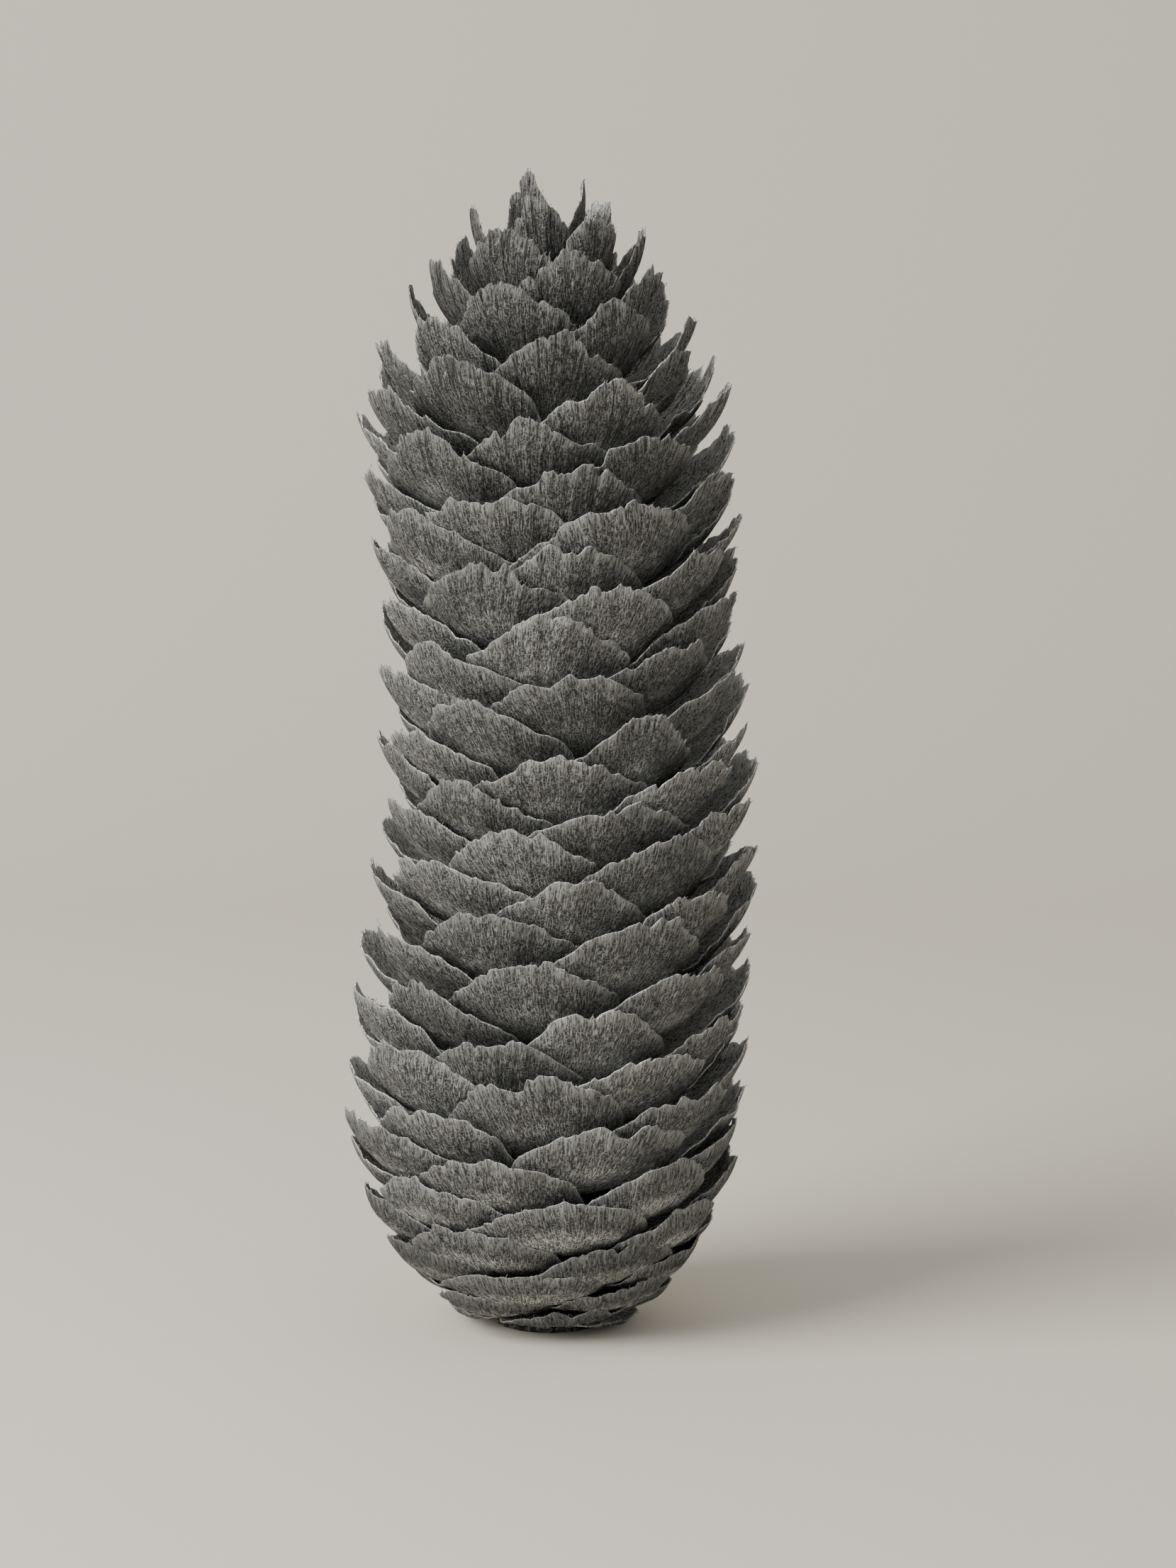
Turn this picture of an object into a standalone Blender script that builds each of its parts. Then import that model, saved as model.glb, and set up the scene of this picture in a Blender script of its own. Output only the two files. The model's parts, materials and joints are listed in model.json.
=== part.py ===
"""Spruce cone, standing on its base: a woody axis with its scales grown on it in one golden-angle spiral.

Everything is in metres, +Z up. The origin is the middle of the small flat foot where the stalk broke off.

The axis is a net of diamonds, one for each scale, whose corners lie on the same spiral as the scales.
Each diamond is the root of one scale, so neighbouring scales share its edges and the whole cone is one
closed skin. A scale is first a flat blade: a fan of rays from its root to its notched margin. The blade is
then bent along a centreline that leaves the axis outwards and turns up, and is wrapped round the cone.
"""

import math
import random

import bmesh
import bpy
import numpy as np

# Whole cone
CONE_HEIGHT = 0.140
SCALE_COUNT = 194
GOLDEN_ANGLE = math.radians(137.508)
FIRST_AZIMUTH = math.radians(112.0)
FIRST_TIP_HEIGHT = 0.0010
BOW = 0.0022  # how far the axis swings: to +X in its middle, and less to -X below and above
SEED = 4

# The foot, where the stalk broke off
FOOT_RADIUS = 0.0074
FOOT_THICKNESS = 0.0004

# The net of root diamonds: each scale's diamond has its corners at these steps along the spiral
LEFT_STEP, RIGHT_STEP = 3, 5
TOP_STEP = LEFT_STEP + RIGHT_STEP
HALF_TOP_TURN = (TOP_STEP * GOLDEN_ANGLE - 6 * math.pi) / 2

# How the scales change from base to tip, each as (height of the scale's tip, value)
TIP_RADIUS = (
    (0.0, 0.0086), (0.003, 0.0124), (0.006, 0.0153), (0.010, 0.0183), (0.014, 0.0207), (0.018, 0.0225),
    (0.023, 0.0240), (0.030, 0.0246), (0.042, 0.0248), (0.052, 0.0244), (0.062, 0.0237), (0.080, 0.0228),
    (0.096, 0.0229), (0.108, 0.0236), (0.116, 0.0227), (0.121, 0.0203), (0.126, 0.0172), (0.132, 0.0130),
    (0.1365, 0.0090), (0.1385, 0.0060), (0.140, 0.0028),
)
ROOT_HEIGHT = (
    (0.0, 0.0012), (0.001, 0.0018), (0.010, 0.0052), (0.017, 0.0094), (0.024, 0.0142), (0.032, 0.0200),
    (0.045, 0.0310), (0.110, 0.0955), (0.126, 0.1100), (0.132, 0.1160), (0.140, 0.1255), (0.146, 0.1320),
)
ROOT_SLOPE = (
    (0.0, -14.0), (0.006, -12.0), (0.012, -4.0), (0.024, 8.0), (0.045, 20.0), (0.105, 24.0), (0.126, 32.0),
    (0.132, 45.0), (0.140, 82.0),
)
TIP_SLOPE = (
    (0.0, 46.0), (0.003, 58.0), (0.006, 64.0), (0.010, 68.0), (0.017, 71.0), (0.026, 71.0), (0.038, 69.0),
    (0.098, 69.0), (0.114, 72.0), (0.124, 84.0), (0.132, 91.0), (0.140, 95.0),
)
HALF_WIDTH = (
    (0.0, 0.0050), (0.005, 0.0070), (0.010, 0.0088), (0.024, 0.0106), (0.060, 0.0105), (0.095, 0.0102),
    (0.112, 0.0099), (0.125, 0.0081), (0.132, 0.0061), (0.1365, 0.0036), (0.140, 0.0019),
)
TIP_DEPTH = (
    (0.0, 0.0030), (0.010, 0.0048), (0.024, 0.0066), (0.040, 0.0072), (0.095, 0.0076), (0.112, 0.0084),
    (0.140, 0.0080),
)
POINTEDNESS = ((0.0, 0.0), (0.030, 0.12), (0.060, 0.22), (0.095, 0.32), (0.112, 0.50), (0.140, 0.65))

# How far chance takes each scale from the even one
RADIUS_PLAY = 0.007  # share of its radius
HEIGHT_PLAY = 0.00012
AZIMUTH_PLAY = math.radians(4.5)
LEAN_PLAY = math.radians(9.0)
NOTCH_PLAY = 0.06
WIDTH_SHARES = (0.86, 1.07)
DEPTH_SHARES = (0.85, 1.18)

# The play fades out at both ends of the cone, where the scales are packed closely
BASE_FADE, CROWN_FADE = 0.030, 0.004

# One blade
BLADE_THICKNESS = 0.00070
MARGIN_THICKNESS = 0.00060
# The rise across a blade, for each radian round the cone, so that it tucks over its neighbour
OVERLAP_RISE = ((0.0, 0.0005), (0.010, 0.0007), (0.024, 0.0009), (0.050, 0.0012), (0.140, 0.00115))
TOOTH_DEPTH = ((0.0, 0.00035), (0.0325, 0.0010), (0.140, 0.0010))
HANDLE_SHARE = 0.26  # each handle of the centreline, as a share of the straight line from root to tip
MARGIN_TURN = math.radians(150.0)  # how far round its oval the margin runs, from the tip to each side
LOWEST_BLADE = 0.00030
MARGIN_RAYS = (-1.0, -0.70, -0.44, -0.25, -0.11, -0.01, 0.09, 0.22, 0.42, 0.70, 1.0)
NOTCH_RAY = 5
RAGGED_SHARES, NOTCH_SHARES, CUSP_SHARES = (0.0, 0.45), (0.7, 1.5), (-0.3, 0.2)
MIDDLE_RAYS = (-0.62, 0.0, 0.62)
MIDDLE_SHARE = 0.60
SIDE_REACH = 0.80  # how far back towards the root a blade's sides would run in a full oval
TIGHTEST_WRAP = 0.75  # the sharpest curl across a blade, as a share of its half width
LINE_POINTS = 41

# Axis, as (height, radius)
AXIS_PROFILE = (
    (0.0, 0.0068), (0.004, 0.0056), (0.010, 0.0048), (0.045, 0.0046), (0.080, 0.0043), (0.104, 0.0036),
    (0.118, 0.0024), (0.126, 0.0014), (0.133, 0.0008),
)
APEX_HEIGHT = 0.1345
WOOD_GREY = (0.118, 0.112, 0.100, 1.0)


def at_height(table, height):
    """The value that a (height, value) table gives at a height."""
    heights, values = zip(*table)
    return float(np.interp(height, heights, values))


def bow_at(height):
    """How far the axis stands out of the straight line, towards +X, at a height."""
    share = min(max(height / CONE_HEIGHT, 0.0), 1.0)
    return -BOW * math.sin(math.pi * share) * math.cos(2 * math.pi * share)


def on_cone(azimuth, radius, height):
    """The point at a radius from the bowed axis."""
    return (radius * math.cos(azimuth) + bow_at(height), radius * math.sin(azimuth), height)


def tip_height_of(index):
    """The height of a scale's tip, which rises evenly along the spiral."""
    return FIRST_TIP_HEIGHT + index / (SCALE_COUNT - 1) * (CONE_HEIGHT - FIRST_TIP_HEIGHT)


def root_height_of(index):
    """The height of the middle of a scale's root."""
    return at_height(ROOT_HEIGHT, tip_height_of(index))


def centreline(root, tip, root_slope, tip_slope):
    """Points (radius, height) along a scale's middle, evenly spaced, and its length."""
    root, tip = np.array(root), np.array(tip)
    handle = HANDLE_SHARE * np.linalg.norm(tip - root)
    first = root + handle * np.array((math.cos(root_slope), math.sin(root_slope)))
    last = tip - handle * np.array((math.cos(tip_slope), math.sin(tip_slope)))
    t = np.linspace(0.0, 1.0, LINE_POINTS)[:, None]
    line = (1 - t) ** 3 * root + 3 * t * (1 - t) ** 2 * first + 3 * t**2 * (1 - t) * last + t**3 * tip
    run = np.concatenate(([0.0], np.cumsum(np.linalg.norm(np.diff(line, axis=0), axis=1))))
    even = np.linspace(0.0, run[-1], LINE_POINTS)
    points = np.stack([np.interp(even, run, line[:, k]) for k in (0, 1)], axis=1)
    return points, float(run[-1])


def draw_teeth(draw, depth):
    """How far each margin ray stops short of the smooth outline: a notch near the tip, the rest ragged."""
    teeth = [draw.uniform(*RAGGED_SHARES) * depth for _ in MARGIN_RAYS]
    teeth[NOTCH_RAY] = draw.uniform(*NOTCH_SHARES) * depth
    teeth[NOTCH_RAY - 1] = draw.uniform(*CUSP_SHARES) * depth
    teeth[NOTCH_RAY + 1] = draw.uniform(*CUSP_SHARES) * depth
    return teeth


def make_seats():
    """Where and how each scale grows, from the base of the cone to its tip."""
    draw = random.Random(SEED)
    seats = []
    for index in range(SCALE_COUNT):
        height = tip_height_of(index)
        loose = min(1.0, height / BASE_FADE, (CONE_HEIGHT - height) / CROWN_FADE)
        radius = at_height(TIP_RADIUS, height) * (1 + loose * draw.uniform(-RADIUS_PLAY, RADIUS_PLAY))
        root_height = root_height_of(index)
        line, length = centreline(
            (at_height(AXIS_PROFILE, root_height), root_height),
            (radius, height + loose * draw.uniform(-HEIGHT_PLAY, HEIGHT_PLAY)),
            math.radians(at_height(ROOT_SLOPE, height)),
            math.radians(at_height(TIP_SLOPE, height)),
        )
        seats.append({
            "azimuth": FIRST_AZIMUTH - GOLDEN_ANGLE * index + draw.uniform(-AZIMUTH_PLAY, AZIMUTH_PLAY),
            "line": line,
            "length": length,
            "half_width": at_height(HALF_WIDTH, height) * draw.uniform(*WIDTH_SHARES),
            "tip_depth": at_height(TIP_DEPTH, height) * draw.uniform(*DEPTH_SHARES),
            "pointed": at_height(POINTEDNESS, height),
            "rise": at_height(OVERLAP_RISE, height),
            "lean": loose * draw.uniform(-LEAN_PLAY, LEAN_PLAY),
            "notch_shift": draw.uniform(-NOTCH_PLAY, NOTCH_PLAY),
            "teeth": draw_teeth(draw, at_height(TOOTH_DEPTH, height)),
        })
    return seats


def margin_point(seat, ray, shortfall):
    """A point of the margin in the flat blade: (sideways, share of the length)."""
    turn = abs(ray) * MARGIN_TURN
    quarter = turn / (math.pi / 2)
    across, up = math.sin(turn), math.cos(turn)
    if quarter < 1:
        across += seat["pointed"] * (quarter - across)
        up += seat["pointed"] * ((1 - quarter) - up)
    widest = 1 - seat["tip_depth"] / seat["length"]
    reach = seat["tip_depth"] / seat["length"] if up > 0 else SIDE_REACH * widest
    side = math.copysign(across * seat["half_width"], ray)
    share = widest + reach * up
    # A ray runs from the root, so a shortfall pulls the point back towards it.
    kept = 1 - shortfall / math.hypot(side, share * seat["length"])
    return side * kept, share * kept


def bend(seat, side, share, inset):
    """Where a point of the flat blade stands on the cone. Inset is its depth behind the blade's middle."""
    lean, length, line = seat["lean"], seat["length"], seat["line"]
    swing = share * math.sin(lean)
    side, share = side - share * length * swing, share + side * swing / length
    place = min(max(share, 0.0), 1.0) * (len(line) - 1)
    step = min(int(place), len(line) - 2)
    tangent = (line[step + 1] - line[step]) / np.linalg.norm(line[step + 1] - line[step])
    radius, height = line[step] + (place - step) * (line[step + 1] - line[step])
    beyond = max(share - 1.0, 0.0) * length
    radius, height = radius + beyond * tangent[0], height + beyond * tangent[1]
    wrap = max(radius, TIGHTEST_WRAP * seat["half_width"])
    turn = side / wrap
    height += seat["rise"] * turn * min(1.0, share / MIDDLE_SHARE)
    outwards = radius - wrap + (wrap - inset * tangent[1]) * math.cos(turn)
    sideways = (wrap - inset * tangent[1]) * math.sin(turn)
    height = max(height + inset * tangent[0], LOWEST_BLADE + max(inset, 0.0))
    azimuth = seat["azimuth"] + math.atan2(sideways, outwards)
    return on_cone(azimuth, math.hypot(outwards, sideways), height)


def fill_between(mesh, low, high, flip):
    """Triangles between two rows of vertices, matched by how far along its row each one is."""
    i = j = 0
    while i < len(low) - 1 or j < len(high) - 1:
        low_next = (i + 1) / (len(low) - 1) if i < len(low) - 1 else 2.0
        high_next = (j + 1) / (len(high) - 1) if j < len(high) - 1 else 2.0
        if low_next < high_next:
            corners = (low[i], low[i + 1], high[j])
            i += 1
        else:
            corners = (low[i], high[j + 1], high[j])
            j += 1
        mesh.faces.new(reversed(corners) if flip else corners)


def grow_scale(mesh, net, index, seat):
    """One scale, grown from its diamond of the net: an outer and an inner face and the rim between them."""
    left, right = net[index + LEFT_STEP], net[index + RIGHT_STEP]
    margins = []
    for depth, root, flip in ((-0.5, net[index], False), (0.5, net[index + TOP_STEP], True)):
        middle = []
        for ray in MIDDLE_RAYS:
            side, share = margin_point(seat, ray, 0.0)
            place = bend(seat, MIDDLE_SHARE * side, MIDDLE_SHARE * share, depth * BLADE_THICKNESS)
            middle.append(mesh.verts.new(place))
        margin = []
        for ray, shortfall in zip(MARGIN_RAYS, seat["teeth"]):
            ray += seat["notch_shift"] * (1 - abs(ray))
            side, share = margin_point(seat, ray, shortfall)
            margin.append(mesh.verts.new(bend(seat, side, share, depth * MARGIN_THICKNESS)))
        fill_between(mesh, (left, root, right), middle, flip)
        fill_between(mesh, middle, margin, flip)
        for corners in ((left, middle[0], margin[0]), (middle[-1], right, margin[-1])):
            mesh.faces.new(reversed(corners) if flip else corners)
        margins.append(margin)
    outer, inner = margins
    for k in range(len(outer) - 1):
        mesh.faces.new((outer[k], outer[k + 1], inner[k + 1], inner[k]))
    mesh.faces.new((left, outer[0], inner[0]))
    mesh.faces.new((outer[-1], right, inner[-1]))


def spiral_loop(net, first):
    """The loop of net corners that ends the net, from corner number first, in order round the axis."""
    return [net[first + (LEFT_STEP * k) % TOP_STEP] for k in range(TOP_STEP)]


def make_cone(name):
    """The whole cone as one closed mesh."""
    mesh = bmesh.new()
    net = []
    for index in range(SCALE_COUNT + TOP_STEP):
        height = 1.5 * root_height_of(index) - 0.5 * root_height_of(index + TOP_STEP)
        azimuth = FIRST_AZIMUTH - GOLDEN_ANGLE * index + HALF_TOP_TURN
        net.append(mesh.verts.new(on_cone(azimuth, at_height(AXIS_PROFILE, height), height)))
    for index, seat in enumerate(make_seats()):
        grow_scale(mesh, net, index, seat)
    low = spiral_loop(net, 0)
    rings = [low]
    for height in (FOOT_THICKNESS, 0.0):
        ring = []
        for corner in low:
            azimuth = math.atan2(corner.co.y, corner.co.x)
            x, y = FOOT_RADIUS * math.cos(azimuth), FOOT_RADIUS * math.sin(azimuth)
            ring.append(mesh.verts.new((x, y, height)))
        rings.append(ring)
    for upper, lower in zip(rings, rings[1:]):
        for k in range(TOP_STEP):
            following = (k + 1) % TOP_STEP
            mesh.faces.new((upper[k], upper[following], lower[following], lower[k]))
    mesh.faces.new(rings[-1])
    high = spiral_loop(net, SCALE_COUNT)
    apex = mesh.verts.new((bow_at(APEX_HEIGHT), 0.0, APEX_HEIGHT))
    for k in range(TOP_STEP):
        mesh.faces.new((high[(k + 1) % TOP_STEP], high[k], apex))
    bmesh.ops.triangulate(mesh, faces=[face for face in mesh.faces if len(face.verts) == 4])
    bmesh.ops.recalc_face_normals(mesh, faces=mesh.faces)
    data = bpy.data.meshes.new(name)
    mesh.to_mesh(data)
    mesh.free()
    return bpy.data.objects.new(name, data)


def wood_material():
    """Weathered grey wood."""
    material = bpy.data.materials.new("weathered_wood")
    material.use_nodes = True
    shader = material.node_tree.nodes["Principled BSDF"]
    shader.inputs["Base Color"].default_value = WOOD_GREY
    shader.inputs["Roughness"].default_value = 0.82
    shader.inputs["Metallic"].default_value = 0.0
    return material


def build():
    """The whole cone as one object."""
    for old in list(bpy.data.objects):
        bpy.data.objects.remove(old)
    cone = make_cone("spruce_cone")
    cone.data.materials.append(wood_material())
    bpy.context.scene.collection.objects.link(cone)


build()
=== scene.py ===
# %% [markdown]
# This scene dresses a spruce cone that stands on its base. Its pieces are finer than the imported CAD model,
# follow the same rule of growth and fill the same space.

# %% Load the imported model
import json
import math
import random

import bmesh
import bpy
import numpy as np
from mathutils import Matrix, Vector

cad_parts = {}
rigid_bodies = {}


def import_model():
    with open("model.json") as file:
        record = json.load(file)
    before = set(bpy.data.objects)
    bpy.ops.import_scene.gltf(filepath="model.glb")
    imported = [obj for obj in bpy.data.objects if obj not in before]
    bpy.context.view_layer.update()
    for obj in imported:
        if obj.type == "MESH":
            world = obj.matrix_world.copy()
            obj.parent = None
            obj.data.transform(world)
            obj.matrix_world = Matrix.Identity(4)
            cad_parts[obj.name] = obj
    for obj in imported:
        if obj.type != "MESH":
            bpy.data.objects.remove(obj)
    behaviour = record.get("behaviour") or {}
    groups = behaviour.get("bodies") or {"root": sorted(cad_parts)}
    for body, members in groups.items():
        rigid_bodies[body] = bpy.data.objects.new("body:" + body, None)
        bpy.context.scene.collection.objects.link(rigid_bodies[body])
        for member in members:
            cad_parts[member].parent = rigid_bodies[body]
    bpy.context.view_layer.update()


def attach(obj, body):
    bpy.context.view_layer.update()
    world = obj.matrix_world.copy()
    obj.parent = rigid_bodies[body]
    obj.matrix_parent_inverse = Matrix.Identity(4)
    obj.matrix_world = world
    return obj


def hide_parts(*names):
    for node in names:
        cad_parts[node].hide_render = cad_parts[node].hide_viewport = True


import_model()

# %% [markdown]
# A cone grows by one rule: each new scale turns by the golden angle from the last one and stands a little
# higher, which gives the crossed spirals. Scales placed by eye would fit one side only, so the rule places
# them all. The numbers are the CAD model's, so each fine scale lands on the solid one that it replaces.
# Lengths are in metres.

# %% The rule of growth
CONE_HEIGHT = 0.140
SCALE_COUNT = 194
GOLDEN_ANGLE = math.radians(137.508)
FIRST_AZIMUTH = math.radians(112.0)
FIRST_TIP_HEIGHT = 0.0010
RISE = (CONE_HEIGHT - FIRST_TIP_HEIGHT) / (SCALE_COUNT - 1)
BOW = 0.0022
SEED = 4
print(SCALE_COUNT, "scales, each", round(RISE * 1000, 2), "mm above the one before")

# %% [markdown]
# The scales are wide strips at the base, broad shells in the middle and narrow leaves in the crown. A
# formula for each change would be hard to adjust. So each table gives a size at some heights, and the sizes
# between are read off straight lines. Slopes are in degrees above the level.

# %% How the scales change from base to crown
TIP_RADIUS = (
    (0.0, 0.0086), (0.003, 0.0124), (0.006, 0.0153), (0.010, 0.0183), (0.014, 0.0207), (0.018, 0.0225),
    (0.023, 0.0240), (0.030, 0.0246), (0.042, 0.0248), (0.052, 0.0244), (0.062, 0.0237), (0.080, 0.0228),
    (0.096, 0.0229), (0.108, 0.0236), (0.116, 0.0227), (0.121, 0.0203), (0.126, 0.0172), (0.132, 0.0130),
    (0.1365, 0.0090), (0.1385, 0.0060), (0.140, 0.0028),
)
ROOT_HEIGHT = (
    (0.0, 0.0012), (0.001, 0.0018), (0.010, 0.0052), (0.017, 0.0094), (0.024, 0.0142), (0.032, 0.0200),
    (0.045, 0.0310), (0.110, 0.0955), (0.126, 0.1100), (0.132, 0.1160), (0.140, 0.1255), (0.146, 0.1320),
)
ROOT_SLOPE = (
    (0.0, -14.0), (0.006, -12.0), (0.012, -4.0), (0.024, 8.0), (0.045, 20.0), (0.105, 24.0), (0.126, 32.0),
    (0.132, 45.0), (0.140, 82.0),
)
TIP_SLOPE = (
    (0.0, 46.0), (0.003, 58.0), (0.006, 64.0), (0.010, 68.0), (0.017, 71.0), (0.026, 71.0), (0.038, 69.0),
    (0.098, 69.0), (0.114, 72.0), (0.124, 84.0), (0.132, 91.0), (0.140, 95.0),
)
HALF_WIDTH = (
    (0.0, 0.0050), (0.005, 0.0070), (0.010, 0.0088), (0.024, 0.0106), (0.060, 0.0105), (0.095, 0.0102),
    (0.112, 0.0099), (0.125, 0.0081), (0.132, 0.0061), (0.1365, 0.0036), (0.140, 0.0019),
)
TIP_DEPTH = (
    (0.0, 0.0030), (0.010, 0.0048), (0.024, 0.0066), (0.040, 0.0072), (0.095, 0.0076), (0.112, 0.0084),
    (0.140, 0.0080),
)
POINTEDNESS = ((0.0, 0.0), (0.030, 0.12), (0.060, 0.22), (0.095, 0.32), (0.112, 0.50), (0.140, 0.65))
OVERLAP_RISE = ((0.0, 0.0005), (0.010, 0.0007), (0.024, 0.0009), (0.050, 0.0012), (0.140, 0.00115))
TOOTH_DEPTH = ((0.0, 0.00035), (0.0325, 0.0010), (0.140, 0.0010))
AXIS_PROFILE = (
    (0.0, 0.0068), (0.004, 0.0056), (0.010, 0.0048), (0.045, 0.0046), (0.080, 0.0043), (0.104, 0.0036),
    (0.118, 0.0024), (0.126, 0.0014), (0.133, 0.0008),
)

# %% Read the tables
def at_height(table, height):
    """The value that a (height, value) table gives at a height."""
    heights, values = zip(*table)
    return np.interp(height, heights, values)


def ramp(value, start, end):
    """How far a value has gone from start to end, as a share held between 0 and 1."""
    return np.clip((value - start) / (end - start), 0.0, 1.0)


def bow_at(height):
    """How far the axis stands out of the straight line, towards +X, at a height."""
    share = ramp(height, 0.0, CONE_HEIGHT)
    return -BOW * np.sin(math.pi * share) * np.cos(2 * math.pi * share)


print("half way up, the axis is bowed by", round(float(bow_at(CONE_HEIGHT / 2)) * 1000, 1), "mm")

# %% [markdown]
# Seen from the side, a scale leaves the axis nearly level, bends, and rises steeply to its tip. A row of
# straight lines would show corners, so it is a cubic curve with a handle at each end.

# %% The centreline of a scale
HANDLE_SHARE, TIP_HANDLE_SHARE = 0.26, 0.46
LINE_POINTS = 41


def centreline(root, tip, root_slope, tip_slope):
    """Points (radius, height) along a scale's middle, evenly spaced, and its length."""
    root, tip = np.array(root), np.array(tip)
    straight = np.linalg.norm(tip - root)
    first = root + HANDLE_SHARE * straight * np.array((math.cos(root_slope), math.sin(root_slope)))
    last = tip - TIP_HANDLE_SHARE * straight * np.array((math.cos(tip_slope), math.sin(tip_slope)))
    t = np.linspace(0.0, 1.0, LINE_POINTS)[:, None]
    line = (1 - t) ** 3 * root + 3 * t * (1 - t) ** 2 * first + 3 * t**2 * (1 - t) * last + t**3 * tip
    run = np.concatenate(([0.0], np.cumsum(np.linalg.norm(np.diff(line, axis=0), axis=1))))
    even = np.linspace(0.0, run[-1], LINE_POINTS)
    return np.stack([np.interp(even, run, line[:, k]) for k in (0, 1)], axis=1), run[-1]

# %% [markdown]
# Chance moves each scale a little from its even place, in the same order of draws as the CAD model, because
# equal scales would look machined. A seat is what is known about a scale before it has a shape. The tip
# handle, WIDTH_SHARES, DEPTH_SHARES, EXTRA_POINT and FULLNESS are the fine scales' own, because thin scales
# can vary more. The rest is the CAD model's.

# %% The teeth of a margin
MARGIN_RAYS = (-1.0, -0.70, -0.44, -0.25, -0.11, -0.01, 0.09, 0.22, 0.42, 0.70, 1.0)
NOTCH_RAY = 5
RAGGED_SHARES, NOTCH_SHARES, CUSP_SHARES = (0.0, 0.45), (0.7, 1.5), (-0.3, 0.2)


def draw_teeth(draw, depth):
    """How far each margin ray stops short of the smooth outline: a notch near the tip, the rest ragged."""
    teeth = [draw.uniform(*RAGGED_SHARES) * depth for _ in MARGIN_RAYS]
    teeth[NOTCH_RAY] = draw.uniform(*NOTCH_SHARES) * depth
    teeth[NOTCH_RAY - 1] = draw.uniform(*CUSP_SHARES) * depth
    teeth[NOTCH_RAY + 1] = draw.uniform(*CUSP_SHARES) * depth
    return teeth

# %% How far chance may move a scale
RADIUS_PLAY = 0.007
HEIGHT_PLAY = 0.00012
AZIMUTH_PLAY = math.radians(4.5)
LEAN_PLAY = math.radians(9.0)
NOTCH_PLAY = 0.06
BASE_FADE, CROWN_FADE = 0.030, 0.004
WIDTH_SHARES = (0.84, 1.14)
DEPTH_SHARES = (0.78, 1.30)
EXTRA_POINT = (
    (0.0, 0.0), (0.030, 0.10), (0.060, 0.22), (0.105, 0.18), (0.120, 0.16), (0.130, 0.10), (0.140, -0.10),
)
FULLNESS = (
    (0.0, 1.24), (0.010, 1.22), (0.024, 1.15), (0.045, 1.13), (0.105, 1.13), (0.125, 1.12), (0.132, 1.32),
    (0.1365, 1.62), (0.140, 1.85),
)

# %% The seat of each scale
def make_seat(draw, height):
    """The seat of the scale whose tip stands at a height."""
    loose = min(1.0, height / BASE_FADE, (CONE_HEIGHT - height) / CROWN_FADE)
    radius = at_height(TIP_RADIUS, height) * (1 + loose * draw.uniform(-RADIUS_PLAY, RADIUS_PLAY))
    root_height = at_height(ROOT_HEIGHT, height)
    line, length = centreline(
        (at_height(AXIS_PROFILE, root_height), root_height),
        (radius, height + loose * draw.uniform(-HEIGHT_PLAY, HEIGHT_PLAY)),
        math.radians(at_height(ROOT_SLOPE, height)),
        math.radians(at_height(TIP_SLOPE, height)),
    )
    width = at_height(HALF_WIDTH, height) * at_height(FULLNESS, height)
    return {
        "height": height,
        "turn_play": draw.uniform(-AZIMUTH_PLAY, AZIMUTH_PLAY),
        "line": line,
        "length": length,
        "half_width": width * draw.uniform(*WIDTH_SHARES),
        "tip_depth": at_height(TIP_DEPTH, height) * draw.uniform(*DEPTH_SHARES),
        "lean": loose * draw.uniform(-LEAN_PLAY, LEAN_PLAY),
        "notch_shift": draw.uniform(-NOTCH_PLAY, NOTCH_PLAY),
        "teeth": draw_teeth(draw, at_height(TOOTH_DEPTH, height)),
        "pointed": at_height(POINTEDNESS, height) + at_height(EXTRA_POINT, height),
        "rise": at_height(OVERLAP_RISE, height),
    }


def make_seats():
    """Every scale's seat, from the base of the cone to its tip."""
    draw = random.Random(SEED)
    return [make_seat(draw, FIRST_TIP_HEIGHT + index * RISE) for index in range(SCALE_COUNT)]


SEATS = make_seats()
print("the longest scale is", round(max(seat["length"] for seat in SEATS) * 1000, 1), "mm long")

# %% [markdown]
# A spruce scale is a thin woody leaf whose fibres fan out from the root. Cut from a plane with a picture as
# a mask, its margin would have no thickness. A flat grid of rays and rows has the same fan, so teeth and
# ribs are numbers on its rays.

# %% The grid of a scale and its smooth outline
RAYS = 91
EVEN_SHARE, CROWDED_SHARE = 0.62, 0.38
ROWS = (0.0, 0.30, 0.50, 0.62, 0.71, 0.79, 0.85, 0.90, 0.94, 0.968, 0.987, 1.0)
MARGIN_TURN = math.radians(150.0)
SIDE_REACH = 0.80


def ray_places():
    """The rays of the fan, from -1 to 1."""
    even = np.linspace(-1.0, 1.0, RAYS)
    return np.sign(even) * (EVEN_SHARE * np.abs(even) + CROWDED_SHARE * np.abs(even) ** 3)


def smooth_outline(seat, rays):
    """The margin before its teeth, in the flat blade: (sideways, along) for each ray."""
    turn = np.abs(rays) * MARGIN_TURN
    quarter = turn / (math.pi / 2)
    across, up = np.sin(turn), np.cos(turn)
    front = quarter < 1
    across = np.where(front, across + seat["pointed"] * (quarter - across), across)
    up = np.where(front, up + seat["pointed"] * ((1 - quarter) - up), up)
    widest = seat["length"] - seat["tip_depth"]
    along = widest + np.where(up > 0, seat["tip_depth"], SIDE_REACH * widest) * up
    return np.copysign(across * seat["half_width"], rays), along


print("a scale has", RAYS, "rays and", len(ROWS), "rows on each side")

# %% What chance gives each fine scale
STRETCH = ((0.0, 0.0003), (0.006, 0.0009), (0.026, 0.0010), (0.045, 0.0002), (0.140, 0.0))
STRETCH_PLAY = (-0.0010, 0.0012)
LEAN_EXTRA = math.radians(5.0)
POINT_PLAY = 0.28
FREE_OVER_BASE, FREE_UNDER_TIP = (0.012, 0.027), (0.128, 0.113)


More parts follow.
